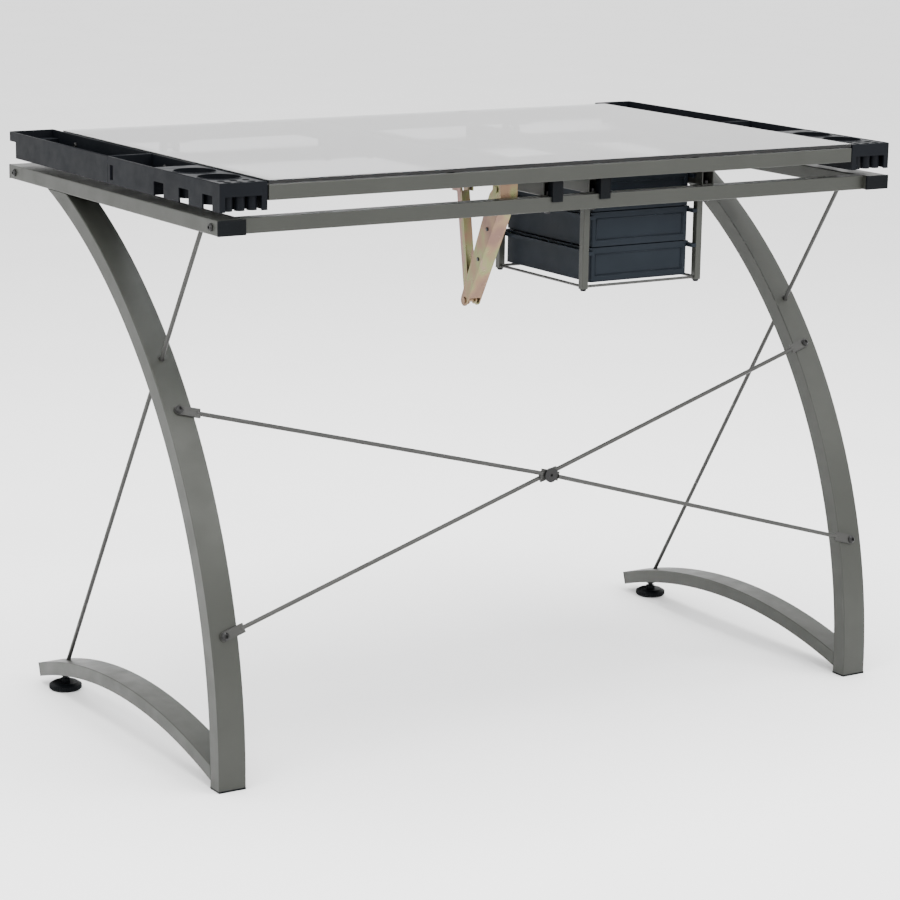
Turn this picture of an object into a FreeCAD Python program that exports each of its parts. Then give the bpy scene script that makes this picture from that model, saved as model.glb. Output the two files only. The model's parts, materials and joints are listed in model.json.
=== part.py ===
"""Tilting glass-topped drafting table on curved tube legs, with side trays and hanging drawers.

Frame: origin at the centre of the footprint on the floor, +Z up, +X along the width, the user
sits at -Y. "right" is +X, "rear" is +Y. Millimetres.
"""
import FreeCAD, Part
import math
import os
import Sketcher

App = FreeCAD
Vec = App.Vector

DIMENSIONS = {
    # base frame
    "rail_span": 1092.0, "rail_wide": 40.0, "rail_high": 20.0, "rail_run": 634.0, "rail_top": 752.0,
    "wall": 1.8, "edge_round": 1.8, "cap_head": 3.0, "cap_depth": 12.0, "cap_round": 1.0,
    "square": 20.0, "square_wall": 1.5, "square_round": 1.2, "cross_offset": 300.0,
    "insert_depth": 18.0, "bolt_dia": 6.0, "bolt_grip": 56.0, "head_dia": 11.0, "head_high": 3.5,
    "hex_key": 4.0, "hole_play": 0.2,
    # curved legs and feet
    "leg_out": 797.0, "leg_in": 772.0, "leg_back": 477.0, "leg_arc_z": 15.0, "leg_start": -1.2,
    "leg_sweep": 70.0, "plug_depth": 14.0, "bend_chamfer": 1.0,
    "foot_out": 900.0, "foot_in": 880.0, "foot_arc_y": 30.0, "foot_drop": 828.0, "foot_start": 70.0,
    "foot_sweep": 37.65, "weld_gap": 0.1,
    "leveler_y": 195.0, "leveler_dia": 46.0, "leveler_high": 11.0, "stem_dia": 8.0, "stem_top": 31.0,
    "bushing_dia": 14.0, "bushing_low": 20.5, "bushing_high": 31.0, "thread_play": 0.06,
    # tension rods
    "rod_dia": 6.0, "rod_mid_y": 26.2, "rod_mid_z": 388.0, "rod_low_z": 32.0, "rod_high_z": 744.0,
    "rod_slope": 0.6149, "nut_wide": 10.0, "nut_high": 5.0, "rod_play": 1.0, "nut_low_z": 33.2,
    "nut_top_z": 737.0,
    "brace_high_z": 481.0, "brace_low_z": 205.0, "flat_thick": 3.0, "flat_wide": 13.0,
    "flat_long": 30.0, "screw_grip": 20.0, "brace_mid_x": -14.0, "brace_mid_y": 246.0,
    "brace_mid_z": 351.0, "flat_shift": 1.7, "bar_shift": 3.4,
    "centre_bolt": 5.0, "centre_grip": 14.0, "centre_nut": 8.0, "centre_nut_high": 4.0,
    # glass top and its frame
    "glass_wide": 950.0, "glass_deep": 612.0, "glass_thick": 5.0, "glass_top": 800.0, "glass_round": 4.0,
    "glass_chamfer": 0.6, "pad_dia": 14.0, "pad_thick": 1.0, "frame_rear": 320.0, "frame_low": 774.0,
    "arm_x": 92.0,
    # tilt hinge
    "hinge_y": 300.0, "hinge_z": 763.0, "hinge_x": 300.0, "hinge_wide": 40.0, "leaf": 2.5, "ear": 3.0,
    "ear_out": 10.0, "ear_in": 6.0, "ear_round": 7.0, "ear_small": 6.5, "hinge_pin": 5.0,
    "pin_head": 8.0, "pin_play": 0.06,
    # side trays
    "tray_inner": 476.0, "tray_wide": 68.0, "tray_long": 319.6, "tray_top": 798.0, "tray_high": 36.0,
    "tray_wall": 2.4, "tray_skirt": 17.0, "tray_ledge": 20.0, "cup_bore": 56.0, "cup_wall": 2.0,
    "cup_floor": 768.0, "cup_first": 187.0, "cup_second": 254.0, "pen_bore": 10.5, "pen_wall": 1.5,
    "pen_pitch": 17.5, "pen_first": 292.0, "pen_second": 308.0, "pen_floor": 764.0, "bin_end": 134.0,
    "ledge_high": 13.0, "tray_gap": 0.4, "tray_screw": 4.0, "tray_screw_grip": 16.0,
    "tray_screw_head": 8.0, "tray_screw_z": 784.0,
    # drawer cage and drawers
    "cage_right": 40.0, "cage_left": 233.0, "cage_front": 72.0, "cage_rear": 280.0, "cage_base": 617.0,
    "post": 10.0, "post_wall": 1.2, "post_round": 1.0, "bar_front": 310.0, "bar_run": 610.5,
    "centre_bar": 34.0, "bar_bolt_grip": 26.0, "bar_bolt_y": 296.0, "wire": 4.0, "wire_z": 620.0,
    "runner_reach": 8.0,
    "runner_high": 5.0, "cap_foot": 3.0,
    "drawer_wide": 164.0, "drawer_rim": 172.0, "drawer_front": 66.0, "drawer_deep": 210.0,
    "drawer_high": 47.6, "drawer_pitch": 49.0, "drawer_base": 624.0, "drawer_wall": 2.2,
    "rim_high": 3.0, "slide_play": 0.3, "drawer_round": 3.0, "recess": 1.0, "recess_edge": 10.0,
    "pull_deep": 6.0, "pull_wide": 90.0, "block_wide": 16.5, "block_right": 28.5, "block_left": -50.0,
    "block_y": 301.0, "block_deep": 12.0, "block_lip": 3.0, "block_drop": 7.0,
    # ratchet support
    "base_y": 278.0, "base_z": 762.0, "knee_y": 200.0, "knee_z": 600.0, "lug_y": 175.0, "lug_z": 756.0,
    "plate": 2.0, "lower_half": 11.0, "upper_half": 6.5, "eye": 8.0, "upper_eye": 6.0, "pivot_dia": 6.0,
    "channel_deep": 17.0, "channel_front": 14.0, "base_half": 13.5, "base_low": 734.0, "base_high": 772.0,
    "web_deep": 2.5,
    "lug_half": 11.0, "lug_low": 748.0, "tooth": 6.0, "rack_thick": 1.8, "rivet_dia": 9.0,
    "rivet_high": 1.5,
}

doc = App.newDocument("drafting_table")
sheet = doc.addObject("Spreadsheet::Sheet", "Dims")
for row, (alias, value) in enumerate(DIMENSIONS.items(), start=1):
    sheet.set("A%d" % row, alias)
    sheet.set("B%d" % row, str(value))
    sheet.setAlias("B%d" % row, alias)
doc.recompute()

finished = []


def val(alias):
    """Number held by one cell of the sheet."""
    return float(getattr(sheet, alias))


def ref(text):
    """Expression text with every sheet alias prefixed by the sheet's name."""
    for alias in sorted(DIMENSIONS, key=len, reverse=True):
        text = text.replace("{" + alias + "}", "Dims." + alias)
    return text


def number(text):
    """Value of an expression written with {alias} fields."""
    return float(sheet.evalExpression(ref(text)))


def bind(obj, **expressions):
    """Bind properties of one object to expressions over the sheet."""
    for prop, text in expressions.items():
        obj.setExpression(prop, ref(str(text)))
    return obj


def place(obj, x="0", y="0", z="0", turn=None):
    """Put an object at expression-bound coordinates, turned by a Rotation."""
    if turn is not None:
        obj.Placement = App.Placement(Vec(0, 0, 0), turn)
    for axis, text in zip("xyz", (x, y, z)):
        obj.setExpression(".Placement.Base." + axis, ref(str(text)))
    return obj


def box(length, width, height, x, y, z, turn=None):
    solid = doc.addObject("Part::Box", "Box")
    bind(solid, Length=length, Width=width, Height=height)
    return place(solid, x, y, z, turn)


UP = App.Rotation()


def rod(radius, height, x, y, z, turn=UP):
    solid = doc.addObject("Part::Cylinder", "Cylinder")
    bind(solid, Radius=radius, Height=height)
    return place(solid, x, y, z, turn)


def cone(low, high, height, x, y, z, turn=UP):
    solid = doc.addObject("Part::Cone", "Cone")
    bind(solid, Radius1=low, Radius2=high, Height=height)
    return place(solid, x, y, z, turn)


def hexagon(across, height, x, y, z, turn=UP):
    prism = doc.addObject("Part::Prism", "Prism")
    prism.Polygon = 6
    bind(prism, Circumradius="(%s) / 1.7320508" % across, Height=height)
    return place(prism, x, y, z, turn)


def join(*parts):
    """Union of solids that make one piece."""
    if len(parts) == 1:
        return parts[0]
    whole = doc.addObject("Part::MultiFuse", "Union")
    whole.Shapes = list(parts)
    whole.Refine = True
    return whole


def cut(base, *tools):
    """Base with the tools removed."""
    result = doc.addObject("Part::Cut", "Cut")
    result.Base = base
    result.Tool = join(*tools)
    return result


def meet(*parts):
    """Space shared by all the solids."""
    result = doc.addObject("Part::MultiCommon", "Common")
    result.Shapes = list(parts)
    return result


def group(*parts):
    """Separate identical solids kept in one node."""
    bundle = doc.addObject("Part::Compound", "Group")
    bundle.Links = list(parts)
    return bundle


def node(label, obj):
    """Give the finished sub-part its name."""
    obj.Label = label
    finished.append(obj)
    return obj


def origin_plane(body, role):
    return next(item for item in body.Origin.OriginFeatures if item.Role == role)


def add_rectangle(sketch, wide, high, centre_y="0"):
    """Rectangle centred on the sketch's vertical axis, its sizes bound to the sheet."""
    half_w = number(wide) / 2
    mid = number(centre_y)
    half_h = number(high) / 2
    corners = [(-half_w, mid - half_h), (half_w, mid - half_h), (half_w, mid + half_h),
               (-half_w, mid + half_h)]
    first = sketch.GeometryCount
    for (x0, y0), (x1, y1) in zip(corners, corners[1:] + corners[:1]):
        sketch.addGeometry(Part.LineSegment(Vec(x0, y0, 0), Vec(x1, y1, 0)), False)
    for side in range(4):
        sketch.addConstraint(Sketcher.Constraint("Coincident", first + side, 2, first + (side + 1) % 4,
                                                 1))
    for side, kind in enumerate(("Horizontal", "Vertical", "Horizontal", "Vertical")):
        sketch.addConstraint(Sketcher.Constraint(kind, first + side))
    bound = [("DistanceX", first, 1, first, 2, 2 * half_w, wide),
             ("DistanceY", first + 1, 1, first + 1, 2,
             2 * half_h, high), ("DistanceX", first, 1, -1, 1, half_w, "(%s) / 2" % wide),
             ("DistanceY", -1, 1, first, 1, mid - half_h, "(%s) - (%s) / 2" % (centre_y, high))]
    for kind, a, a_end, b, b_end, size, text in bound:
        index = sketch.addConstraint(Sketcher.Constraint(kind, a, a_end, b, b_end, size))
        sketch.setExpression("Constraints[%d]" % index, ref(text))


def new_body():
    return doc.addObject("PartDesign::Body", "Body")


def new_sketch(body, role="XY_Plane"):
    sketch = body.newObject("Sketcher::SketchObject", "Sketch")
    sketch.AttachmentSupport = [(origin_plane(body, role), "")]
    sketch.MapMode = "FlatFace"
    return sketch


def round_edges(body, feature, radius, chosen):
    """Fillet the edges of a feature that the chosen test accepts."""
    doc.recompute()
    names = ["Edge%d" % (i + 1) for i, edge in enumerate(feature.Shape.Edges) if chosen(edge)]
    fillet = body.newObject("PartDesign::Fillet", "Fillet")
    fillet.Base = (feature, names)
    bind(fillet, Radius=radius)
    return fillet


def on_corner(edge, half_x, half_y):
    """True for a straight edge that runs up an outer corner of a section."""
    start, end = edge.Vertexes[0].Point, edge.Vertexes[-1].Point
    return abs(abs(start.x) - half_x) < 0.01 and abs(abs(start.y) - half_y) < 0.01 \
        and start.distanceToPoint(Vec(start.x, start.y, end.z)) > 1 and abs(start.y - end.y) < 0.01


def tube(wide, high, run, wall, radius):
    """Straight rectangular tube along its own Z, with rounded outer corners."""
    body = new_body()
    sketch = new_sketch(body)
    add_rectangle(sketch, wide, high)
    add_rectangle(sketch, "%s - 2 * %s" % (wide, wall), "%s - 2 * %s" % (high, wall))
    pad = body.newObject("PartDesign::Pad", "Pad")
    pad.Profile = sketch
    bind(pad, Length=run)
    half_x, half_y = number(wide) / 2, number(high) / 2
    round_edges(body, pad, radius, lambda edge: on_corner(edge, half_x, half_y))
    return body


def arc_tube(wide, inner, outer, wall, sweep):
    """Rectangular tube bent about its own X axis, from +Y towards +Z."""
    body = new_body()
    sketch = new_sketch(body)
    thick = "(%s - %s)" % (outer, inner)
    middle = "(%s + %s) / 2" % (outer, inner)
    add_rectangle(sketch, wide, thick, middle)
    add_rectangle(sketch, "%s - 2 * %s" % (wide, wall), "%s - 2 * %s" % (thick, wall), middle)
    bend = body.newObject("PartDesign::Revolution", "Revolution")
    bend.Profile = sketch
    bend.ReferenceAxis = (sketch, ["H_Axis"])
    bind(bend, Angle=sweep)
    half = number(wide) / 2
    radii = (number(inner), number(outer))
    doc.recompute()
    names = []
    for i, edge in enumerate(bend.Shape.Edges):
        point = edge.Vertexes[0].Point
        far = math.hypot(point.y, point.z)
        if edge.Length > 50 and abs(abs(point.x) - half) < 0.01 and min(abs(far - r) for r in radii) < 0.01:
            names.append("Edge%d" % (i + 1))
    bevel = body.newObject("PartDesign::Chamfer", "Chamfer")
    bevel.Base = (bend, names)
    bind(bevel, Size="{bend_chamfer}")
    return body


def end_plug(wide, high, wall, head, depth):
    """Moulded plug for a tube end: head from Z 0 up, spigot from Z 0 down."""
    body = new_body()
    face = new_sketch(body)
    add_rectangle(face, wide, high)
    pad = body.newObject("PartDesign::Pad", "Pad")
    pad.Profile = face
    bind(pad, Length=head)
    spigot = new_sketch(body)
    add_rectangle(spigot, "%s - 2 * %s - {hole_play}" % (wide, wall),
                  "%s - 2 * %s - {hole_play}" % (high, wall))
    stem = body.newObject("PartDesign::Pad", "Pad")
    stem.Profile = spigot
    stem.Reversed = True
    bind(stem, Length=depth)
    top = number(head)
    round_edges(body, stem, "{cap_round}", lambda edge: all(abs(v.Point.z - top) < 0.01 for v in edge.Vertexes))
    return body


def button_screw(dia, grip, head_dia, head_high):
    """Button-head screw: head above Z 0, shank below, hexagon socket in the head."""
    shank = rod("%s / 2" % dia, grip, "0", "0", "-(%s)" % grip)
    rim = rod("%s / 2" % head_dia, "%s * 0.4" % head_high, "0", "0", "0")
    crown = cone("%s / 2" % head_dia, "%s * 0.3" % head_dia, "%s * 0.6" % head_high, "0", "0",
                 "%s * 0.4" % head_high)
    socket = hexagon("{hex_key}", head_high, "0", "0", "%s * 0.45" % head_high)
    return cut(join(shank, rim, crown), socket)


def outline(points, thick, hole_points=(), hole="{pivot_dia}"):
    """Flat plate from a straight-sided outline, centred on Z 0, with round holes."""
    wire = doc.addObject("Part::Polygon", "Outline")
    wire.Nodes = [Vec(number(x), number(y), 0) for x, y in points]
    wire.Close = True
    plate = doc.addObject("Part::Extrusion", "Plate")
    plate.Base = wire
    plate.DirMode = "Custom"
    plate.Dir = Vec(0, 0, 1)
    plate.Solid = True
    plate.Symmetric = True
    bind(plate, LengthFwd=thick)
    if not hole_points:
        return plate
    drills = [rod("%s / 2" % hole, "%s * 2" % thick, x, y, "-(%s)" % thick) for x, y in hole_points]
    return cut(plate, *drills)


def axes(along, normal):
    """Rotation that lays local X along one direction and local Z along a normal."""
    normal = normal.normalize()
    along = (along - normal * along.dot(normal)).normalize()
    return App.Rotation(along, normal.cross(along), normal, "ZXY")


ALONG_X = App.Rotation(Vec(0, 1, 0), 90)
ALONG_MINUS_X = App.Rotation(Vec(0, 1, 0), -90)
ALONG_Y = App.Rotation(Vec(1, 0, 0), -90)
ALONG_MINUS_Y = App.Rotation(Vec(1, 0, 0), 90)
DOWN = App.Rotation(Vec(1, 0, 0), 180)
SIDES = (("right", 1), ("left", -1))


def block(length, width, height, x, y, z):
    """Box centred on X and Y, standing on Z."""
    return box(length, width, height, "%s - (%s) / 2" % (x, length), "%s - (%s) / 2" % (y, width), z)


def lying_rod(radius, length, x, y, z):
    """Round bar along +X."""
    return rod(radius, length, x, y, z, ALONG_X)


def bar(radius, start, end):
    """Straight round bar between two points."""
    reach = end - start
    solid = doc.addObject("Part::Cylinder", "Bar")
    bind(solid, Radius=radius)
    solid.Height = reach.Length
    solid.Placement = App.Placement(start, App.Rotation(Vec(0, 0, 1), reach))
    return solid


def soften(solid, radius, chosen):
    """Round the chosen straight edges of a Part solid."""
    doc.recompute()
    size = number(radius)
    fillet = doc.addObject("Part::Fillet", "Rounded")
    fillet.Base = solid
    fillet.Edges = [(i + 1, size, size) for i, edge in enumerate(solid.Shape.Edges) if chosen(edge)]
    return fillet


def upright(edge):
    start, end = edge.Vertexes[0].Point, edge.Vertexes[-1].Point
    return abs(start.x - end.x) < 0.01 and abs(start.y - end.y) < 0.01 and abs(start.z - end.z) > 1


def mirrored(sign, near, far):
    """Lower X of a span that runs from near to far on one side of the table."""
    return near if sign > 0 else "-(%s)" % far


# ---------------------------------------------------------------- base frame
SIDE_X = "({rail_span} - {rail_wide}) / 2"
SIDE_IN = "({rail_span} / 2 - {rail_wide})"
RAIL_Z = "({rail_top} - {rail_high} / 2)"
RAIL_LOW = "({rail_top} - {rail_high})"


def rod_y(height):
    """Y of a side tension rod at one height."""
    return number("{rod_mid_y}") + number("{rod_slope}") * (height - number("{rod_mid_z}"))


def rod_point(sign, height):
    return Vec(sign * number(SIDE_X), rod_y(height), height)


def leg_point(sign, height):
    """Point on a leg's rear face at one height, and the face's outward normal."""
    radius = number("{leg_out}")
    rise = height - number("{leg_arc_z}")
    reach = math.sqrt(radius ** 2 - rise ** 2)
    return Vec(sign * number(SIDE_X), reach - number("{leg_back}"), height), Vec(0, reach,
                                                                                 rise).normalize()


BRACE_HEIGHTS = ("{brace_high_z}", "{brace_low_z}")
BAR_XS = ("{centre_bar}", "-{cage_right}", "-{cage_left}")

caps, inserts, bolts, leg_plugs, foot_plugs, bushings, rod_nuts, brace_screws = ([] for _ in range(8))
for side, sign in SIDES:
    x = "%d * %s" % (sign, SIDE_X)
    rod_hole = bar("{rod_dia} / 2 + {rod_play}", rod_point(sign, val("rod_low_z")),
                   rod_point(sign, val("rod_high_z")))

    rail = tube("{rail_wide}", "{rail_high}", "{rail_run}", "{wall}", "{edge_round}")
    place(rail, x, "-{rail_run} / 2", RAIL_Z, ALONG_Y)
    drills = [lying_rod("({bolt_dia} + {hole_play}) / 2", "{bolt_grip}", "%s - {bolt_grip} / 2" % x,
                        "%d * {cross_offset}" % end, RAIL_Z) for end in (1, -1)]
    node("side_rail_" + side, cut(rail, rod_hole, *drills))
    for end, turn in ((1, ALONG_Y), (-1, ALONG_MINUS_Y)):
        cap = end_plug("{rail_wide}", "{rail_high}", "{wall}", "{cap_head}", "{cap_depth}")
        caps.append(place(cap, x, "%d * {rail_run} / 2" % end, RAIL_Z, turn))
        insert = block("{insert_depth}", "{square} - 2 * {square_wall} - {hole_play}",
                       "{square} - 2 * {square_wall} - {hole_play}",
                       "%d * (%s - {insert_depth} / 2)" % (sign, SIDE_IN), "%d * {cross_offset}" % end,
                       "%s - ({square} - 2 * {square_wall} - {hole_play}) / 2" % RAIL_Z)
        bore = lying_rod("{bolt_dia} / 2 + {thread_play}", "{insert_depth} * 3",
                         "%d * %s - {insert_depth} * 1.5" % (sign, SIDE_IN), "%d * {cross_offset}" % end,
                         RAIL_Z)
        inserts.append(cut(insert, bore))
        bolt = button_screw("{bolt_dia}", "{bolt_grip}", "{head_dia}", "{head_high}")
        bolts.append(place(bolt, "%d * {rail_span} / 2" % sign, "%d * {cross_offset}" % end, RAIL_Z,
                           ALONG_X if sign > 0 else ALONG_MINUS_X))

    leg_tube = arc_tube("{rail_wide}", "{leg_in}", "{leg_out}", "{wall}", "{leg_sweep}")
    place(leg_tube, x, "-{leg_back}", "{leg_arc_z}", App.Rotation(Vec(1, 0, 0), val("leg_start")))
    keep = block("{rail_wide} * 2", "{leg_out} * 2", "%s - {cap_head}" % RAIL_LOW, x, "0", "{cap_head}")
    screw_holes = []
    for height in BRACE_HEIGHTS:
        point, normal = leg_point(sign, number(height))
        screw_holes.append(bar("({bolt_dia} + {hole_play}) / 2", point - normal * 6, point + normal * 3))
        screw = button_screw("{bolt_dia}", "{screw_grip}", "{head_dia}", "{head_high}")
        screw.Placement = App.Placement(point + normal * (val("flat_thick") + val("weld_gap")),
                                        axes(Vec(1, 0, 0), Vec(normal)))
        brace_screws.append(screw)
    node("leg_" + side, cut(meet(leg_tube, keep), rod_hole, *screw_holes))
    plug = end_plug("{rail_wide}", "{leg_out} - {leg_in}", "{wall}", "{cap_head}", "{plug_depth}")
    leg_plugs.append(place(plug, x, "({leg_out} + {leg_in}) / 2 - {leg_back} - {weld_gap} / 2",
                           "{cap_head}", DOWN))

    foot_tube = arc_tube("{rail_wide}", "{foot_in}", "{foot_out}", "{wall}", "{foot_sweep}")
    place(foot_tube, x, "{foot_arc_y}", "-{foot_drop}", App.Rotation(Vec(1, 0, 0), val("foot_start")))
    inside_leg = lying_rod("{leg_in} - {weld_gap}", "{rail_wide} * 2", "%s - {rail_wide}" % x,
                           "-{leg_back}",
                           "{leg_arc_z}")
    bushing_hole = rod("{bushing_dia} / 2 + {weld_gap}", "{bushing_high} - {leveler_high}", x,
                       "-{leveler_y}",
                       "{leveler_high} + 2")
    node("foot_" + side, cut(meet(foot_tube, inside_leg), rod_hole, bushing_hole))
    tip = end_plug("{rail_wide}", "{foot_out} - {foot_in}", "{wall}", "{cap_head}", "{plug_depth} - 2")
    angle = "({foot_start} + {foot_sweep})"
    foot_plugs.append(place(tip, x, "{foot_arc_y} + ({foot_out} + {foot_in}) / 2 * cos(%s)" % angle,
                            "({foot_out} + {foot_in}) / 2 * sin(%s) - {foot_drop}" % angle,
                            App.Rotation(Vec(1, 0, 0), number(angle))))
    bushings.append(cut(rod("{bushing_dia} / 2", "{bushing_high} - {bushing_low}", x, "-{leveler_y}",
                            "{bushing_low}"),
                        rod("{stem_dia} / 2 + {thread_play}", "{bushing_high}", x, "-{leveler_y}",
                            "{bushing_low} / 2")))

    pad_rim = rod("{leveler_dia} / 2", "{leveler_high} - 5", x, "-{leveler_y}", "2")
    pad_low = cone("{leveler_dia} / 2 - 2", "{leveler_dia} / 2", "2", x, "-{leveler_y}", "0")
    pad_top = cone("{leveler_dia} / 2", "{leveler_dia} / 2 - 5", "3", x, "-{leveler_y}",
                   "{leveler_high} - 3")
    collar = hexagon("{stem_dia} + 5", "5", x, "-{leveler_y}", "{leveler_high}")
    stem = rod("{stem_dia} / 2", "{stem_top} - {leveler_high}", x, "-{leveler_y}", "{leveler_high}")
    node("leveler_" + side, join(pad_rim, pad_low, pad_top, collar, stem))

    node("side_rod_" + side, bar("{rod_dia} / 2", rod_point(sign, val("rod_low_z")),
                                 rod_point(sign, val("rod_high_z"))))
    along_rod = App.Rotation(Vec(0, 0, 1), rod_point(sign, val("rod_high_z")) - rod_point(sign,
                                                                                          val("rod_low_z")))
    for height in ("nut_low_z", "nut_top_z"):
        nut = cut(hexagon("{nut_wide}", "{nut_high}", "0", "0", "0"),
                  rod("{rod_dia} / 2 + {thread_play}", "{nut_high} * 3", "0", "0", "-{nut_high}"))
        nut.Placement = App.Placement(rod_point(sign, val(height)), along_rod)
        rod_nuts.append(nut)

for label, items in (("rail_end_caps", caps), ("cross_rail_inserts", inserts), ("rail_bolts", bolts),
                     ("leg_foot_plugs", leg_plugs), ("foot_end_plugs", foot_plugs),
                     ("leveler_bushings", bushings), ("side_rod_nuts", rod_nuts)):
    node(label, group(*items))

cage_bolts = []
for end, place_name in ((1, "rear"), (-1, "front")):
    y = "%d * {cross_offset}" % end
    rail = tube("{square}", "{square}", "2 * %s" % SIDE_IN, "{square_wall}", "{square_round}")
    place(rail, "-%s" % SIDE_IN, y, RAIL_Z, ALONG_X)
    bolt_y = "%d * {bar_bolt_y}" % end
    holes = [rod("({bolt_dia} + {hole_play}) / 2", "{square} * 2", x, bolt_y, "%s - {square}" % RAIL_Z)
             for x in BAR_XS]
    node("cross_rail_" + place_name, cut(rail, *holes))
    for x in BAR_XS:
        bolt = button_screw("{bolt_dia}", "{bar_bolt_grip}", "{head_dia}", "{head_high}")
        cage_bolts.append(place(bolt, x, bolt_y, RAIL_LOW, DOWN))
node("cage_bolts", group(*cage_bolts))

# ---------------------------------------------------------------- crossed brace rods

def flat_end(hole, along, normal, centre, back, front):
    """Flattened stretch of rod with one hole, running from back to front of the hole."""
    slab = box("(%s) - (%s)" % (front, back), "{flat_wide}", "{flat_thick}", back, "-{flat_wide} / 2",
               "-{flat_thick} / 2")
    nose = rod("{flat_wide} / 2", "{flat_thick}", "0", "0", "-{flat_thick} / 2")
    flat = cut(join(slab, nose), rod("(%s + {hole_play}) / 2" % hole, "{flat_thick} * 3", "0", "0",
                                     "-{flat_thick} * 1.5"))
    flat.Placement = App.Placement(centre, axes(Vec(along), Vec(normal)))
    return flat


def brace_rod(sign, depth):
    """One crossed rod: an eye on each leg and a flattened middle for the shared bolt."""
    middle = Vec(val("brace_mid_x"), val("brace_mid_y") + depth * val("bar_shift"), val("brace_mid_z"))
    pieces = []
    ends = []
    for end, height in ((sign, BRACE_HEIGHTS[0]), (-sign, BRACE_HEIGHTS[1])):
        face, normal = leg_point(end, number(height))
        eye = face + normal * (val("flat_thick") / 2 + val("weld_gap") / 2)
        inward = (middle - eye).normalize()
        pieces.append(flat_end("{bolt_dia}", inward, normal, eye, "0", "{flat_long}"))
        pieces.append(bar("{rod_dia} / 2", eye + inward * (val("flat_long") - 5), middle - inward * 13))
        ends.append(eye)
    flat_centre = Vec(val("brace_mid_x"), val("brace_mid_y") + depth * val("flat_shift"),
                      val("brace_mid_z"))
    pieces.append(flat_end("{centre_bolt}", ends[0] - ends[1], Vec(0, 1, 0), flat_centre,
                           "-{flat_long} / 2",
                           "{flat_long} / 2"))
    whole = join(*pieces)
    whole.Refine = False
    return whole


node("brace_rod_a", brace_rod(1, 1))
node("brace_rod_b", brace_rod(-1, -1))
bolt = button_screw("{centre_bolt}", "{centre_grip}", "{head_dia} - 2", "{head_high}")
place(bolt, "{brace_mid_x}", "{brace_mid_y} + {flat_shift} + {flat_thick} / 2 + {weld_gap}",
      "{brace_mid_z}", ALONG_Y)
nut = cut(hexagon("{centre_nut}", "{centre_nut_high}", "0", "0", "0"),
          rod("{centre_bolt} / 2 + {thread_play}", "{centre_nut_high} * 3", "0", "0",
              "-{centre_nut_high}"))
place(nut, "{brace_mid_x}", "{brace_mid_y} - {flat_shift} - {flat_thick} / 2 - {weld_gap}",
      "{brace_mid_z}",
      ALONG_MINUS_Y)
node("brace_center_bolt", group(bolt, nut))
node("brace_screws", group(*brace_screws))

# ---------------------------------------------------------------- drawer cage
BAR_Z = "({rail_top} + {square} / 2)"
for label, x in zip(("center_rail", "cage_top_rail_right", "cage_top_rail_left"), BAR_XS):
    rail = tube("{square}", "{square}", "{bar_run}", "{square_wall}", "{square_round}")
    place(rail, x, "-{bar_front}", BAR_Z, ALONG_Y)
    holes = [rod("({bolt_dia} + {hole_play}) / 2", "{square} / 2", x, "%d * {bar_bolt_y}" % end,
                 "{rail_top} - {square} / 4") for end in (1, -1)]
    node(label, cut(rail, *holes))
for side, x in (("right", "{block_right}"), ("left", "{block_left}")):
    step = block("{block_wide}", "{block_deep}", "{frame_low} - {rail_top}", x,
                 "{block_y} + {block_deep} / 2",
                 "{rail_top}")
    lip = block("{block_wide}", "{block_lip} - {weld_gap}", "{block_drop} + 1", x,
                "{block_y} + {block_deep} - ({block_lip} - {weld_gap}) / 2", "{rail_top} - {block_drop}")
    node("rest_block_" + side, join(step, lip))

post_caps, wires = [], []
for side, x, inward in (("right", "-{cage_right}", -1), ("left", "-{cage_left}", 1)):
    posts = []
    for y in ("{cage_front}", "{cage_rear}"):
        post = tube("{post}", "{post}", "{rail_top} - {cage_base}", "{post_wall}", "{post_round}")
        posts.append(place(post, x, y, "{cage_base}"))
        post_caps.append(cone("{post} * 0.35", "{post} * 0.5", "{cap_foot}", x, y,
                              "{cage_base} - {cap_foot}"))
    node("cage_posts_" + side, group(*posts))
    wires.append(rod("{wire} / 2", "{cage_rear} - {cage_front} - {post}", x, "{cage_front} + {post} / 2",
                     "{wire_z}", ALONG_Y))
    runners = []
    for level in range(3):
        root = "{post} / 2" if level < 2 else "{square} / 2"
        reach = "({runner_reach} + {post} / 2 - %s)" % root
        runners.append(block(reach, "{cage_rear} - {cage_front} + {post}", "{runner_high}",
                             "%s + %d * (%s + %s / 2)" % (x, inward, root, reach),
                             "({cage_rear} + {cage_front}) / 2",
                             "{drawer_base} + %d * {drawer_pitch} + {drawer_high} - {rim_high} - {slide_play}"
                             " - {runner_high}" % level))
    node("drawer_runners_" + side, group(*runners))
for y in ("{cage_front}", "{cage_rear}"):
    wires.append(lying_rod("{wire} / 2", "{cage_left} - {cage_right} - {post}",
                           "{post} / 2 - {cage_left}", y,
                           "{wire_z}"))
node("cage_post_caps", group(*post_caps))
node("cage_cross_wires", group(*wires))

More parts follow.
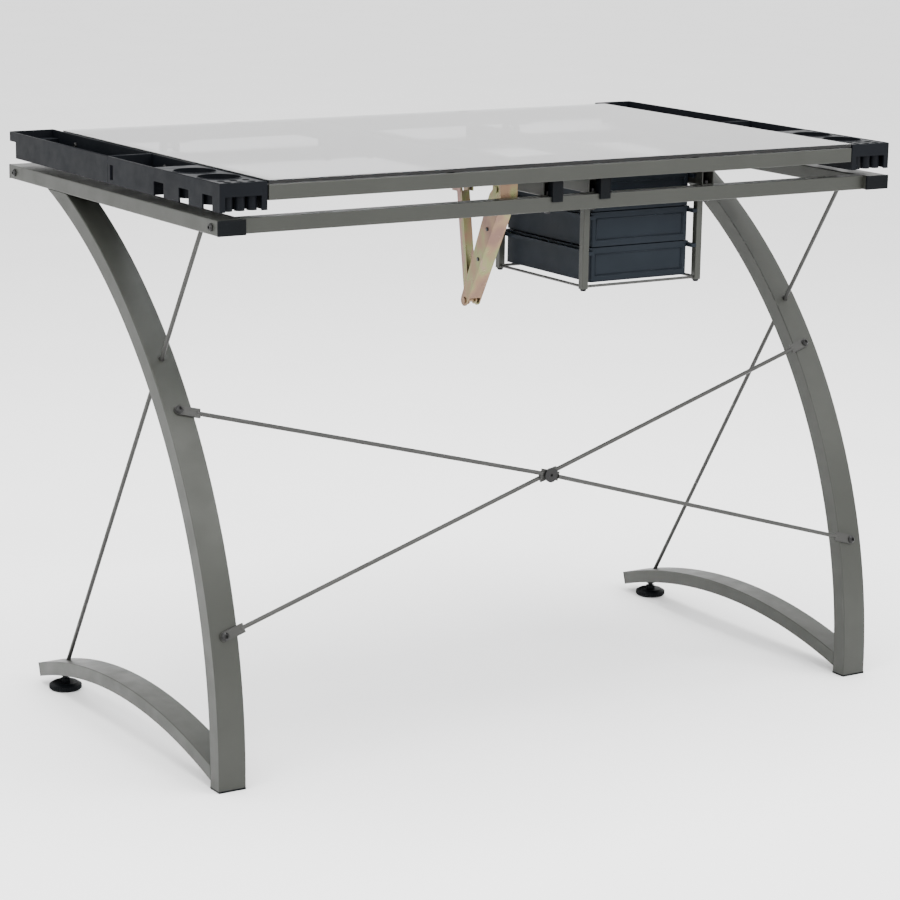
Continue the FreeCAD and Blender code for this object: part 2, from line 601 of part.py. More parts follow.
DRAWER_X = "(-({cage_left} + {cage_right}) / 2)"
DRAWER_Y = "({drawer_front} + {drawer_deep} / 2)"
for level, name in enumerate(("lower", "middle", "upper")):
    base = "({drawer_base} + %d * {drawer_pitch})" % level
    shell = soften(block("{drawer_wide}", "{drawer_deep}", "{drawer_high}", DRAWER_X, DRAWER_Y, base),
                   "{drawer_round}", upright)
    rim = soften(block("{drawer_rim}", "{drawer_deep}", "{rim_high}", DRAWER_X, DRAWER_Y,
                       "%s + {drawer_high} - {rim_high}" % base), "{drawer_round}", upright)
    pull = block("{pull_wide}", "{pull_deep} + 1", "{rim_high}", DRAWER_X,
                 "{drawer_front} - ({pull_deep} - 1) / 2", "%s + {drawer_high} - {rim_high}" % base)
    hollow = soften(block("{drawer_wide} - 2 * {drawer_wall}", "{drawer_deep} - 2 * {drawer_wall}",
                          "{drawer_high}", DRAWER_X, DRAWER_Y, "%s + {drawer_wall}" % base),
                    "{drawer_round} - 1", upright)
    panels = [block("{drawer_wide} - 2 * {recess_edge}", "{recess}", "{drawer_high} - 2 * {recess_edge}",
                    DRAWER_X, y, "%s + {recess_edge}" % base)
              for y in ("{drawer_front} + {recess} / 2", "{drawer_front} + {drawer_deep} - {recess} / 2")]
    node("drawer_" + name, cut(join(shell, rim, pull), hollow, *panels))

# ---------------------------------------------------------------- tilting top
FRAME_MID = "({frame_low} + {square} / 2)"
FRONT_EDGE = "({frame_rear} - {glass_deep})"
SIDE_FRAME = "({glass_wide} / 2 - 1)"


def top_tube(length, x, y, turn):
    rail = tube("{square}", "{square}", length, "{square_wall}", "{square_round}")
    return place(rail, x, y, FRAME_MID, turn)


node("top_rail_rear", top_tube("2 * %s" % SIDE_FRAME, "-%s" % SIDE_FRAME, "{frame_rear} - {square} / 2",
                               ALONG_X))
node("top_rail_front", top_tube("2 * %s" % SIDE_FRAME, "-%s" % SIDE_FRAME,
                                "%s + {square} / 2" % FRONT_EDGE,
                                ALONG_X))
INNER_RUN = "({glass_deep} - 2 * {square})"
INNER_START = "(%s + {square})" % FRONT_EDGE
node("top_center_rail", top_tube(INNER_RUN, "{arm_x}", INNER_START, ALONG_Y))
TRAY_SCREW_YS = {"rear": ("40", "100"), "front": ("-240", "-60")}
tray_screws = []
for side, sign in SIDES:
    holes = []
    for y in TRAY_SCREW_YS["rear"] + TRAY_SCREW_YS["front"]:
        holes.append(lying_rod("({tray_screw} + {hole_play}) / 2", "{tray_screw_grip} * 2",
                               "%d * {tray_inner} - {tray_screw_grip}" % sign, y, "{tray_screw_z}"))
        screw = button_screw("{tray_screw}", "{tray_screw_grip}", "{tray_screw_head}", "2.4")
        tray_screws.append(place(screw, "%d * ({tray_inner} + {tray_wall} + {weld_gap})" % sign, y,
                                 "{tray_screw_z}", ALONG_X if sign > 0 else ALONG_MINUS_X))
    rail = top_tube(INNER_RUN, "%d * (%s - {square} / 2)" % (sign, SIDE_FRAME), INNER_START, ALONG_Y)
    node("top_rail_" + side, cut(rail, *holes))

    span = mirrored(sign, "{tray_inner}", "{tray_inner} + {tray_wide}")
    inside = "%s + {tray_wall}" % span
    inner_wide = "{tray_wide} - 2 * {tray_wall}"
    low = "{tray_top} - {tray_high}"
    floor = "%s + {tray_wall}" % low
    middle = "%d * ({tray_inner} + {tray_wide} / 2)" % sign
    shell = box("{tray_wide}", "{tray_long}", "{tray_high}", span, "0", low)
    tub = box(inner_wide, "{bin_end} - 2 * {tray_wall}", "{tray_high}", inside, "{tray_wall}", floor)
    under = box(inner_wide, "{tray_long} - {bin_end} - {tray_wall}", "{tray_high} - {tray_wall}", inside,
                "{bin_end}", low)
    cups = [rod("{cup_bore} / 2 + {cup_wall}", "{tray_top} - {cup_floor} + {cup_wall}", middle, y,
                "{cup_floor} - {cup_wall}") for y in ("{cup_first}", "{cup_second}")]
    cup_bores = [rod("{cup_bore} / 2", "{tray_high}", middle, y, "{cup_floor}")
                 for y in ("{cup_first}", "{cup_second}")]
    spots = [("%s + %d * {pen_pitch}" % (middle, i), y) for i in (-1, 0, 1) for y in ("{pen_first}",
                                                                                      "{pen_second}")]
    pens = [rod("{pen_bore} / 2 + {pen_wall}", "{tray_high}", x, y, low) for x, y in spots]
    pen_bores = [rod("{pen_bore} / 2", "{tray_high}", x, y, "{pen_floor}") for x, y in spots]
    outer = mirrored(sign, "{tray_inner} + {tray_wide} - {tray_wall} - 0.5",
                     "{tray_inner} + {tray_wide} + 1")
    windows = [box("{tray_wall} + 1.5", "%d" % wide, "{tray_high} - {tray_skirt}", outer, "%d" % y, low)
               for y, wide in ((137, 28), (208, 27), (273, 27))]
    windows.append(box("{tray_wall} + 1.5", "9", "20", outer, "7", "%s + 3" % floor))
    windows.append(block("{tray_wide} - 16", "{tray_wall} + 1", "{tray_high} - {tray_skirt}", middle,
                         "{tray_long} - {tray_wall} / 2 + 0.5", low))
    organiser = cut(join(cut(shell, tub, under, *windows), *cups, *pens), *cup_bores, *pen_bores,
                    *holes[:2])
    node("tray_rear_" + side, organiser)

    deep = box("{tray_wide}", "{cross_offset} - {tray_gap}", "{tray_high}", span, "-{cross_offset}", low)
    ledge = box("{tray_wide}", "{tray_ledge} + 1", "{ledge_high}", span, "-{frame_rear}",
                "{tray_top} - {ledge_high}")
    tub = box(inner_wide, "{cross_offset} - {tray_gap} - 2 * {tray_wall}", "{tray_high}", inside,
              "{tray_wall} - {cross_offset}", floor)
    shelf = box(inner_wide, "{tray_ledge} + 2 * {tray_wall}", "{ledge_high}", inside,
                "{tray_wall} - {frame_rear}", "{tray_top} - {ledge_high} + {tray_wall}")
    node("tray_front_" + side, cut(join(deep, ledge), tub, shelf, *holes[2:]))
node("tray_screws", group(*tray_screws))

glass = soften(block("{glass_wide}", "{glass_deep}", "{glass_thick}", "0",
                     "{frame_rear} - {glass_deep} / 2",
                     "{glass_top} - {glass_thick}"), "{glass_round}", upright)
doc.recompute()
rim_edges = [i + 1 for i, edge in enumerate(glass.Shape.Edges) if not upright(edge)]
bevel = doc.addObject("Part::Chamfer", "Bevel")
bevel.Base = glass
bevel.Edges = [(i, val("glass_chamfer"), val("glass_chamfer")) for i in rim_edges]
node("glass_top", bevel)
PAD_Z = "{glass_top} - {glass_thick} - {pad_thick}"
PAD_SPOTS = [(x, y) for x in (-464, 464) for y in (-230, 230)] + [(x, y) for x in (-200,
                                                                                   200) for y in (-282,
                                                                                                  310)]
node("glass_pads", group(*[rod("{pad_dia} / 2", "{pad_thick}", "%d" % x, "%d" % y, PAD_Z) for x,
                           y in PAD_SPOTS]))

# ---------------------------------------------------------------- tilt hinges
HINGE_Y = "(-{hinge_y})"


def hinge_half(x, ear_at, low, high, ear_radius, leaf_y, leaf_deep, leaf_z):
    """One bracket: a leaf and two ears with a bore on the tilt axis."""
    leaf = box("{hinge_wide}", leaf_deep, "{leaf}", "%s - {hinge_wide} / 2" % x, leaf_y, leaf_z)
    ears = []
    for sign in (1, -1):
        start = "%s + %s" % (x, ear_at) if sign > 0 else "%s - %s - {ear}" % (x, ear_at)
        ears.append(box("{ear}", "2 * (%s)" % ear_radius, "%s - (%s)" % (high, low), start,
                        "%s - (%s)" % (HINGE_Y, ear_radius), low))
        ears.append(lying_rod(ear_radius, "{ear}", start, HINGE_Y, "{hinge_z}"))
    bore = lying_rod("{hinge_pin} / 2 + {pin_play}", "{hinge_wide}", "%s - {hinge_wide} / 2" % x, HINGE_Y,
                     "{hinge_z}")
    return cut(join(leaf, *ears), bore)


lowers, uppers, pins = [], [], []
for sign in (1, -1):
    x = "%d * {hinge_x}" % sign
    lowers.append(hinge_half(x, "{ear_out}", "{rail_top}", "{hinge_z}", "{ear_round}",
                             "%s - {square} / 2" % HINGE_Y, "{square}", "{rail_top}"))
    uppers.append(hinge_half(x, "{ear_in}", "{hinge_z}", "{frame_low}", "{ear_small}", HINGE_Y,
                             "{square} + 8", "{frame_low} - {leaf}"))
    reach = "({ear_out} + {ear} + 1)"
    shank = lying_rod("{hinge_pin} / 2", "2 * %s + 2" % reach, "%s - %s" % (x, reach), HINGE_Y,
                      "{hinge_z}")
    head = lying_rod("{pin_head} / 2", "2", "%s - %s - 1.5" % (x, reach), HINGE_Y, "{hinge_z}")
    pins.append(join(shank, head))
node("hinge_lower_brackets", group(*lowers))
node("hinge_upper_brackets", group(*uppers))
node("hinge_pins", group(*pins))

# ---------------------------------------------------------------- ratchet support
BASE = Vec(val("arm_x"), val("base_y"), val("base_z"))
KNEE = Vec(val("arm_x"), val("knee_y"), val("knee_z"))
LUG = Vec(val("arm_x"), val("lug_y"), val("lug_z"))


def cheeks(half, make):
    """Two identical side plates whose outer faces stand half the width from the middle."""
    plates = []
    for sign in (1, -1):
        plates.append(place(make(), "0", "0", "%d * (%s - {plate} / 2)" % (sign, half)))
    return plates


def clevis(half, y_low, y_deep, z_low, z_high, web_y, web_deep, web_low, web_high, pivot):
    """Bracket of two cheeks joined by a web, bored for a pivot."""
    sides = [block("{plate}", y_deep, "%s - (%s)" % (z_high, z_low),
                   "{arm_x} + %d * (%s - {plate} / 2)" % (sign, half), "%s + (%s) / 2" % (y_low, y_deep),
                   z_low)
             for sign in (1, -1)]
    web = block("2 * %s" % half, web_deep, "%s - (%s)" % (web_high, web_low), "{arm_x}",
                "%s + (%s) / 2" % (web_y, web_deep), web_low)
    drill = lying_rod("{pivot_dia} / 2 + {pin_play}", "4 * %s" % half, "{arm_x} - 2 * %s" % half,
                      pivot[0], pivot[1])
    return cut(join(web, *sides), drill)


SEAT = "({cross_offset} - {square} / 2)"
node("support_base_bracket", clevis("{base_half}", "{base_y} - {eye}", "%s - {base_y} + {eye}" % SEAT,
                                    "{rail_top}", "{base_high}", "%s - {web_deep}" % SEAT, "{web_deep}",
                                    "{base_low}", "{base_high}", ("{base_y}", "{base_z}")))
node("support_top_bracket", clevis("{lug_half}", "{lug_y} - 10", "20", "{lug_low}", "{frame_low}",
                                   "{lug_y} - 20", "40", "{frame_low} - {web_deep}", "{frame_low}",
                                   ("{lug_y}", "{lug_z}")))


def pivot_pin(half, centre):
    """Rivet across a pivot with a head at each end."""
    shank = lying_rod("{pivot_dia} / 2", "2 * %s + 2 * {rivet_high}" % half,
                      "{arm_x} - %s - {rivet_high}" % half, centre[0], centre[1])
    heads = [lying_rod("{rivet_dia} / 2", "{rivet_high}", start, centre[0], centre[1])
             for start in ("{arm_x} + %s + {weld_gap}" % half,
                           "{arm_x} - %s - {rivet_high} - {weld_gap}" % half)]
    return join(shank, *heads)


node("support_base_pin", pivot_pin("{base_half}", ("{base_y}", "{base_z}")))
node("support_knee_pin", pivot_pin("{lower_half}", ("{knee_y}", "{knee_z}")))


def channel(half, start, end, near_radius, far_radius, web_side, web_start, taper, open_deep):
    """Pressed channel between two pivots; its web stands on one side of the pivot line."""
    length = (end - start).Length
    run = "%.6f" % length
    edge = "%d * " % web_side
    near = edge + "(%s)" % taper
    far = edge + "(%s)" % far_radius
    profile = [("0", "%d * (%s)" % (-web_side, near_radius)),
               (web_start, "%d * (%s)" % (-web_side, open_deep)),
               (run, "%d * (%s)" % (-web_side, far_radius)), (run, far), (web_start, near),
               ("0", edge + "(%s)" % near_radius)]

    def plate():
        flat = outline(profile, "{plate}")
        discs = [rod(size, "{plate}", at, "0", "-{plate} / 2") for size,
                 at in ((near_radius, "0"), (far_radius, run))]
        drills = [rod("{pivot_dia} / 2 + {pin_play}", "{plate} * 3", at, "0",
                      "-{plate} * 1.5") for at in ("0", run)]
        return cut(join(flat, *discs), *drills)

    near_y, far_y = number(near), number(far)
    slope = math.degrees(math.atan2(far_y - near_y, length - number(web_start)))
    web_long = math.hypot(far_y - near_y, length - number(web_start)) - val("eye")
    drop = "-{plate}" if web_side > 0 else "0"
    web = box("%.6f" % web_long, "{plate}", "2 * %s" % half, "0", "0", "0")
    web.Placement = App.Placement(Vec(number(web_start), near_y, -number(half)),
                                  App.Rotation(Vec(0, 0, 1), slope))
    web.setExpression(".Placement.Base.x", ref(web_start))
    web.setExpression(".Placement.Base.y", ref("%s + %s" % (near, drop)))
    web.setExpression(".Placement.Base.z", ref("-%s" % half))
    arm = join(web, *cheeks(half, plate))
    arm.Placement = App.Placement(start, axes(end - start, Vec(1, 0, 0)))
    return arm


node("support_lower_arm", channel("{lower_half}", BASE, KNEE, "{eye}", "{eye}", 1, "{eye} * 2",
                                  "{channel_deep}",
                                  "{channel_front}"))
node("support_upper_arm", channel("{upper_half}", KNEE, LUG, "{upper_eye}", "{upper_eye}", -1,
                                  "{eye} * 2",
                                  "{upper_eye}", "{upper_eye}"))

rack_start, rack_pitch, teeth = 40.0, 11.0, 9
saw = [(rack_start, "{eye}")]
for i in range(teeth):
    saw.append((rack_start + i * rack_pitch, "-{tooth} / 3"))
    saw.append((rack_start + (i + 0.8) * rack_pitch, "{tooth} * 0.66"))
saw.append((rack_start + teeth * rack_pitch, "{eye}"))
rack = outline([("%r" % x, y) for x, y in saw], "{rack_thick}")
rack.Placement = App.Placement(BASE - Vec(val("lower_half") - val("plate") - val("rack_thick") / 2, 0, 0),
                               axes(KNEE - BASE, Vec(1, 0, 0)))
node("ratchet_sector", rack)

# ---------------------------------------------------------------- check and write
doc.recompute()
problems = [obj.Label for obj in doc.Objects if "Invalid" in obj.State or "Error" in obj.State]
problems += [obj.Label for obj in finished if obj.Shape.isNull() or not obj.Shape.isValid()]
if problems:
    raise RuntimeError("not built: " + ", ".join(problems))
os.makedirs("parts", exist_ok=True)
for obj in finished:
    obj.Shape.exportStep("parts/" + obj.Label + ".step")
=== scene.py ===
import json
import math

import bmesh
import bpy
from mathutils import Matrix, Vector


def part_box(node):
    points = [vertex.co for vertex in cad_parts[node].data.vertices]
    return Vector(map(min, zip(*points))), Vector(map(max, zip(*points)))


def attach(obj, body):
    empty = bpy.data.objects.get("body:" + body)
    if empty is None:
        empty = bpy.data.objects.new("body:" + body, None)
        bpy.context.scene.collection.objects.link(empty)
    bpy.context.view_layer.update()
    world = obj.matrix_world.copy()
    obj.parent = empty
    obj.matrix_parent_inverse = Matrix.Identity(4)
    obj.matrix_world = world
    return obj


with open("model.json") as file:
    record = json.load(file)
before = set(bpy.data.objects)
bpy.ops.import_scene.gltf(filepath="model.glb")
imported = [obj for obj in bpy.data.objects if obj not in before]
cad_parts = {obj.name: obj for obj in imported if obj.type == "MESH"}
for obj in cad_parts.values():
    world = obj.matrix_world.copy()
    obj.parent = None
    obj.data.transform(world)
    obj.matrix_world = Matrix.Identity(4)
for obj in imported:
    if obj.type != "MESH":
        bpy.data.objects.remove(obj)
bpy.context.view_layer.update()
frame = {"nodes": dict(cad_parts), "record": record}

# ---------------------------------------------------------------- sizes in metres
SIDES = ("right", "left")
CUP_CENTRES = (0.187, 0.254)
CUP_RIM_RADIUS = 0.0285
CUP_RIM_BEAD = 0.0009
LIP_INSET = 0.0009
LIP_BEAD = 0.0008
WELD_BEAD = 0.0011
WELD_INSET = 0.002
LEG_TOP_LONG = 0.0618
FOOT_WELD_HEIGHTS = (0.0115, 0.0332)
RIDGE_COUNT = 40
RIDGE_CIRCLE = 0.0228
RIDGE_MIDDLE = 0.005
RIDGE_HALF = 0.0026
RIDGE_BEAD = 0.0009
PANEL_INSET = (0.012, 0.009)
PANEL_BEAD = 0.0007
RIVET_SHARES = (0.35, 0.62)
RIVET_SHIFT = 0.004
RIVET_RADIUS = 0.0028
RIVET_HIGH = 0.0008
FLOOR_SIZE = 60
TABLE_MIDDLE = Vector((0, 0, 0.5))

# ---------------------------------------------------------------- materials
NOISE_LOW, NOISE_MIDDLE, NOISE_HIGH = 0.3, 0.5, 0.7
PAINT_SPECULAR = 0.35
PLASTIC_SPECULAR = 0.06
ZINC_CLOUDS = (
    (0.30, (0.15, 0.09, 0.07)),
    (0.42, (0.20, 0.13, 0.08)),
    (0.50, (0.17, 0.18, 0.08)),
    (0.58, (0.23, 0.13, 0.12)),
    (0.70, (0.12, 0.14, 0.07)),
)
GLASS_EDGE = (0.3, (0.012, 0.014, 0.015))
GLASS_FACE = (0.62, (0.50, 0.505, 0.52))
FLOOR_WHITE = (0.95, 0.95, 0.95)


def new_material(name):
    """Empty node material with a Principled shader and object-space coordinates."""
    material = bpy.data.materials.new(name)
    material.use_nodes = True
    tree = material.node_tree
    tree.nodes.clear()
    out = tree.nodes.new("ShaderNodeOutputMaterial")
    shader = tree.nodes.new("ShaderNodeBsdfPrincipled")
    tree.links.new(shader.outputs["BSDF"], out.inputs["Surface"])
    coords = tree.nodes.new("ShaderNodeTexCoord")
    return material, tree, shader, coords.outputs["Object"]


def noise(tree, coords, scale, detail=4.0, stretch=(1, 1, 1)):
    """Cloudy noise value over the surface."""
    mapping = tree.nodes.new("ShaderNodeMapping")
    mapping.inputs["Scale"].default_value = stretch
    tree.links.new(coords, mapping.inputs["Vector"])
    texture = tree.nodes.new("ShaderNodeTexNoise")
    texture.inputs["Scale"].default_value = scale
    texture.inputs["Detail"].default_value = detail
    tree.links.new(mapping.outputs["Vector"], texture.inputs["Vector"])
    return texture.outputs["Fac"]


def ramp(tree, value, stops):
    """Colour ramp over a value, from (position, colour) stops."""
    node = tree.nodes.new("ShaderNodeValToRGB")
    elements = node.color_ramp.elements
    while len(elements) < len(stops):
        elements.new(0.5)
    for element, (position, colour) in zip(elements, stops):
        element.position = position
        element.color = (*colour, 1)
    tree.links.new(value, node.inputs["Fac"])
    return node.outputs["Color"]


def spread(tree, value, low, high):
    """Value remapped from the middle of the noise range to low..high."""
    node = tree.nodes.new("ShaderNodeMapRange")
    node.inputs["From Min"].default_value = NOISE_LOW
    node.inputs["From Max"].default_value = NOISE_HIGH
    node.inputs["To Min"].default_value = low
    node.inputs["To Max"].default_value = high
    tree.links.new(value, node.inputs["Value"])
    return node.outputs["Result"]


def bump(tree, shader, height, strength, distance):
    """Fine relief from a height value."""
    node = tree.nodes.new("ShaderNodeBump")
    node.inputs["Strength"].default_value = strength
    node.inputs["Distance"].default_value = distance
    tree.links.new(height, node.inputs["Height"])
    tree.links.new(node.outputs["Normal"], shader.inputs["Normal"])


def tinted(tree, coords, colour, change, scale):
    """Colour that drifts a little lighter and darker over the surface."""
    dark = tuple(c * (1 - change) for c in colour)
    light = tuple(min(1, c * (1 + change)) for c in colour)
    stops = [(NOISE_LOW, dark), (NOISE_MIDDLE, colour), (NOISE_HIGH, light)]
    return ramp(tree, noise(tree, coords, scale), stops)


def uneven_gloss(tree, shader, coords, scale, low, high):
    """Roughness that wanders between low and high over the surface."""
    gloss = spread(tree, noise(tree, coords, scale), low, high)
    tree.links.new(gloss, shader.inputs["Roughness"])


def paint(name, colour, rough, metallic, peel=0.25):
    """Powder-coat or lacquer: slow colour drift, uneven gloss and orange peel."""
    material, tree, shader, coords = new_material(name)
    tree.links.new(tinted(tree, coords, colour, change=0.06, scale=14), shader.inputs["Base Color"])
    uneven_gloss(tree, shader, coords, scale=30, low=rough - 0.05, high=rough + 0.07)
    shader.inputs["Metallic"].default_value = metallic
    shader.inputs["Specular IOR Level"].default_value = PAINT_SPECULAR
    shader.inputs["Coat Weight"].default_value = 0.04
    shader.inputs["Coat Roughness"].default_value = 0.25
    bump(tree, shader, noise(tree, coords, scale=900, detail=2), strength=peel, distance=0.0002)
    return material


def plastic(name, colour, rough, grain):
    """Moulded plastic with a fine spark-eroded grain and faint flow marks."""
    material, tree, shader, coords = new_material(name)
    tree.links.new(tinted(tree, coords, colour, change=0.15, scale=9), shader.inputs["Base Color"])
    uneven_gloss(tree, shader, coords, scale=45, low=rough - 0.06, high=rough + 0.08)
    shader.inputs["Specular IOR Level"].default_value = PLASTIC_SPECULAR
    bump(tree, shader, noise(tree, coords, scale=1500, detail=3), strength=grain, distance=0.00015)
    return material


def passivated_zinc(name):
    """Yellow passivated zinc: straw, rose and green clouds over drawn steel."""
    material, tree, shader, coords = new_material(name)
    clouds = noise(tree, coords, scale=26, detail=3, stretch=(1, 1, 0.5))
    tree.links.new(ramp(tree, clouds, ZINC_CLOUDS), shader.inputs["Base Color"])
    uneven_gloss(tree, shader, coords, scale=60, low=0.24, high=0.42)
    shader.inputs["Metallic"].default_value = 0.85
    drawn_lines = noise(tree, coords, scale=500, detail=2, stretch=(8, 1, 1))
    bump(tree, shader, drawn_lines, strength=0.12, distance=0.0001)
    return material


def table_glass(name):
    """Grey-tinted clear glass whose ground edge reads dark."""
    material, tree, shader, coords = new_material(name)
    geometry = tree.nodes.new("ShaderNodeNewGeometry")
    split = tree.nodes.new("ShaderNodeSeparateXYZ")
    tree.links.new(geometry.outputs["Normal"], split.inputs["Vector"])
    facing = tree.nodes.new("ShaderNodeMath")
    facing.operation = "ABSOLUTE"
    tree.links.new(split.outputs["Z"], facing.inputs[0])
    tint = ramp(tree, facing.outputs["Value"], [GLASS_EDGE, GLASS_FACE])
    tree.links.new(tint, shader.inputs["Base Color"])
    shader.inputs["Transmission Weight"].default_value = 1.0
    shader.inputs["IOR"].default_value = 1.45
    shader.inputs["Specular IOR Level"].default_value = 0.22
    uneven_gloss(tree, shader, coords, scale=5, low=0.0, high=0.03)
    bump(tree, shader, noise(tree, coords, scale=2.5, detail=1), strength=0.02, distance=0.001)
    return material


FINISHES = {
    "frame_paint": paint("frame_paint", (0.027, 0.0285, 0.024), rough=0.42, metallic=0.25),
    "rod_paint": paint("rod_paint", (0.030, 0.030, 0.028), rough=0.47, metallic=0.25),
    "fastener": paint("fastener", (0.012, 0.012, 0.012), rough=0.38, metallic=0.50, peel=0.1),
    "zinc": passivated_zinc("zinc"),
    "black_plastic": plastic("black_plastic", (0.003, 0.0037, 0.0045), rough=0.42, grain=0.25),
    "tray_plastic": plastic("tray_plastic", (0.004, 0.0048, 0.0064), rough=0.44, grain=0.30),
    "drawer_plastic": plastic("drawer_plastic", (0.0095, 0.0125, 0.0165), rough=0.46, grain=0.35),
    "glass": table_glass("glass"),
}
for part in frame["record"]["subparts"]:
    mesh = frame["nodes"][part["node"]].data
    mesh.materials.clear()
    mesh.materials.append(FINISHES[part["material_slot"]])


# ---------------------------------------------------------------- shapes of the added detail
def add_piece(name, mesh_maker, slot, body):
    """New mesh piece that takes a material slot's finish and rides on a CAD body."""
    mesh = bpy.data.meshes.new(name)
    shape = bmesh.new()
    mesh_maker(shape)
    shape.to_mesh(mesh)
    shape.free()
    for face in mesh.polygons:
        face.use_smooth = True
    piece = bpy.data.objects.new(name, mesh)
    bpy.context.scene.collection.objects.link(piece)
    mesh.materials.append(FINISHES[slot])
    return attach(piece, body)


def strip(shape, start, end, radius, segments=12):
    """Round bar from start to end."""
    reach = end - start
    turn = reach.to_track_quat("Z", "Y").to_matrix().to_4x4()
    bmesh.ops.create_cone(shape, cap_ends=True, segments=segments, radius1=radius, radius2=radius,
                          depth=reach.length, matrix=Matrix.Translation((start + end) / 2) @ turn)


def ring(shape, centre, radius, thick, around=64, across=10):
    """Horizontal torus."""
    loops = []
    for i in range(around):
        turn = math.tau * i / around
        out = Vector((math.cos(turn), math.sin(turn), 0))
        loop = []
        for j in range(across):
            bend = math.tau * j / across
            lift = Vector((0, 0, thick * math.sin(bend)))
            loop.append(shape.verts.new(centre + out * (radius + thick * math.cos(bend)) + lift))
        loops.append(loop)
    for i, here in enumerate(loops):
        there = loops[(i + 1) % around]
        for j in range(across):
            k = (j + 1) % across
            shape.faces.new((here[j], there[j], there[k], here[k]))


def rectangle(start, end, inset):
    """Corner pairs of the rectangle from start to end, drawn in by an inset each way."""
    (left, bottom), (right, top), (aside, upward) = start, end, inset
    return [(left + aside, bottom + upward), (right - aside, bottom + upward),
            (right - aside, top - upward), (left + aside, top - upward)]


def bead_loop(shape, corners, radius):
    """Closed run of beads with rounded corners."""
    for here, there in zip(corners, corners[1:] + corners[:1]):
        strip(shape, here, there, radius)
        bmesh.ops.create_uvsphere(shape, u_segments=12, v_segments=8, radius=radius,
                                  matrix=Matrix.Translation(here))


def joint_place(name):
    """Place of a hinge at rest."""
    joints = frame["record"]["behaviour"]["joints"]
    return Vector(next(joint["pos_m"] for joint in joints if joint["name"] == name))


# ---------------------------------------------------------------- added detail
def cup_rims(side):
    """Rolled rims of the two cups in an organiser tray."""
    low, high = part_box("tray_rear_" + side)
    middle = (low.x + high.x) / 2

    def build(shape):
        for y in CUP_CENTRES:
            ring(shape, Vector((middle, y, high.z)), CUP_RIM_RADIUS, CUP_RIM_BEAD)

    add_piece("cup_rims_" + side, build, "tray_plastic", "top")


def tray_lip(which, side):
    """Bead round the upper edge of a tray."""
    low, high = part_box("tray_%s_%s" % (which, side))
    outline = rectangle((low.x, low.y), (high.x, high.y), (LIP_INSET, LIP_INSET))
    corners = [Vector((x, y, high.z)) for x, y in outline]

    def build(shape):
        bead_loop(shape, corners, LIP_BEAD)

    add_piece("tray_lip_%s_%s" % (which, side), build, "tray_plastic", "top")


def weld_beads(side):
    """Weld beads where the curved leg meets the side rail and the foot."""
    leg_low, leg_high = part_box("leg_" + side)
    foot_low, foot_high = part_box("foot_" + side)

    def across(shape, low_x, high_x, y, z):
        strip(shape, Vector((low_x + WELD_INSET, y, z)), Vector((high_x - WELD_INSET, y, z)), WELD_BEAD)

    def build(shape):
        for y in (leg_low.y, leg_low.y + LEG_TOP_LONG):
            across(shape, leg_low.x, leg_high.x, y, leg_high.z)
        for z in FOOT_WELD_HEIGHTS:
            across(shape, foot_low.x, foot_high.x, foot_high.y, z)

    add_piece("weld_beads_" + side, build, "frame_paint", "base")


def leveler_ridges(side):
    """Grip ridges round a levelling foot."""
    low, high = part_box("leveler_" + side)
    centre = Vector(((low.x + high.x) / 2, (low.y + high.y) / 2, RIDGE_MIDDLE))
    half = Vector((0, 0, RIDGE_HALF))

    def build(shape):
        for i in range(RIDGE_COUNT):
            turn = math.tau * i / RIDGE_COUNT
            spot = centre + Vector((math.cos(turn), math.sin(turn), 0)) * RIDGE_CIRCLE
            strip(shape, spot - half, spot + half, RIDGE_BEAD, segments=8)

    add_piece("leveler_ridges_" + side, build, "black_plastic", "leveler_%s_body" % side)


def drawer_frame(level):
    """Raised frame on the rear panel of a drawer."""
    low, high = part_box("drawer_" + level)
    outline = rectangle((low.x, low.z), (high.x, high.z), PANEL_INSET)
    corners = [Vector((x, high.y, z)) for x, z in outline]

    def build(shape):
        bead_loop(shape, corners, PANEL_BEAD)

    add_piece("drawer_frame_" + level, build, "drawer_plastic", "drawer_%s_body" % level)


def arm_rivets():
    """Small spot rivets on the cheeks of the lower support arm."""
    low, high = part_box("support_lower_arm")
    shoulder, knee = joint_place("arm_swing"), joint_place("arm_knee")

    def build(shape):
        for share in RIVET_SHARES:
            spot = shoulder.lerp(knee, share)
            for x, sign in ((low.x, -1), (high.x, 1)):
                start = Vector((x, spot.y + RIVET_SHIFT, spot.z))
                strip(shape, start, start + Vector((RIVET_HIGH * sign, 0, 0)), RIVET_RADIUS, segments=20)

    add_piece("arm_rivets", build, "fastener", "lower_arm")


for side in SIDES:
    cup_rims(side)
    for which in ("rear", "front"):
        tray_lip(which, side)
    weld_beads(side)
    leveler_ridges(side)
for level in ("lower", "middle", "upper"):
    drawer_frame(level)
arm_rivets()


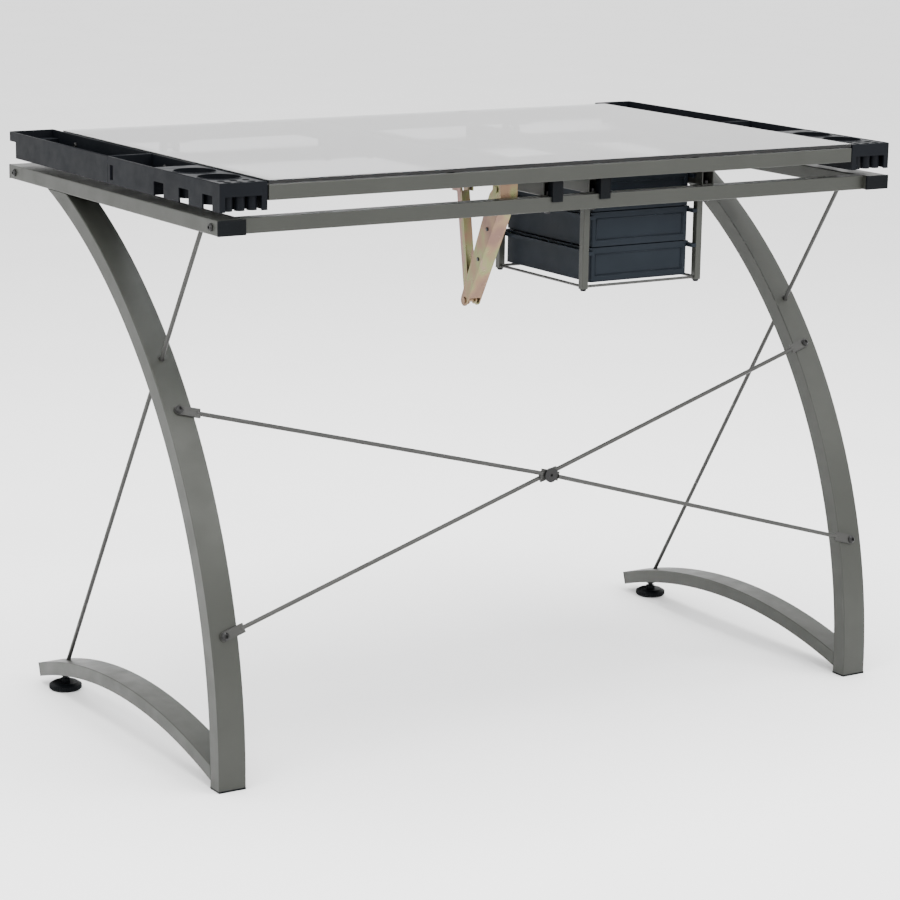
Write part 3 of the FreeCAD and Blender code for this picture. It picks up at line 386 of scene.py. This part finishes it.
# ---------------------------------------------------------------- floor, light, camera
def add_floor():
    """Plain pale floor."""
    material, tree, shader, coords = new_material("floor")
    tree.links.new(tinted(tree, coords, FLOOR_WHITE, change=0.012, scale=3), shader.inputs["Base Color"])
    shader.inputs["Roughness"].default_value = 0.75
    bpy.ops.mesh.primitive_plane_add(size=FLOOR_SIZE)
    floor = bpy.context.object
    floor.name = "floor"
    floor.data.materials.append(material)


def add_world():
    """Even white surroundings."""
    world = bpy.data.worlds.new("studio")
    bpy.context.scene.world = world
    world.use_nodes = True
    background = world.node_tree.nodes["Background"]
    background.inputs["Color"].default_value = (1, 1, 1, 1)
    background.inputs["Strength"].default_value = 1.9


def soft_light(name, place, size, power):
    """Rectangular lamp aimed at the middle of the table."""
    light = bpy.data.lights.new(name, "AREA")
    light.shape = "RECTANGLE"
    light.size, light.size_y = size
    light.energy = power
    lamp = bpy.data.objects.new(name, light)
    lamp.location = place
    lamp.rotation_euler = (Vector(place) - TABLE_MIDDLE).to_track_quat("Z", "Y").to_euler()
    bpy.context.scene.collection.objects.link(lamp)


def add_camera(place, azimuth, elevation, roll, lens, sensor):
    """Camera at a place, with its direction given in degrees."""
    turn, rise, tip = math.radians(azimuth), math.radians(elevation), math.radians(roll)
    back = Vector((math.sin(turn) * math.cos(rise), -math.cos(turn) * math.cos(rise), math.sin(rise)))
    level_right = Vector((0, 0, 1)).cross(back).normalized()
    level_up = back.cross(level_right)
    right = level_right * math.cos(tip) + level_up * math.sin(tip)
    facing = Matrix((right, back.cross(right), back)).transposed().to_4x4()
    camera_data = bpy.data.cameras.new("camera")
    camera_data.lens = lens
    camera_data.sensor_width = sensor
    camera = bpy.data.objects.new("camera", camera_data)
    camera.matrix_world = Matrix.Translation(place) @ facing
    bpy.context.scene.collection.objects.link(camera)
    bpy.context.scene.camera = camera


add_floor()
add_world()
soft_light("key", place=(-1.6, 3.0, 3.0), size=(2.4, 2.4), power=110)
soft_light("fill", place=(3.2, 1.2, 2.0), size=(2.0, 2.0), power=60)
soft_light("overhead", place=(0, 0, 3.4), size=(3.0, 2.2), power=220)
add_camera(place=(2.200, 3.460, 1.261), azimuth=147.48, elevation=12.68, roll=0.97, lens=114.4, sensor=36)
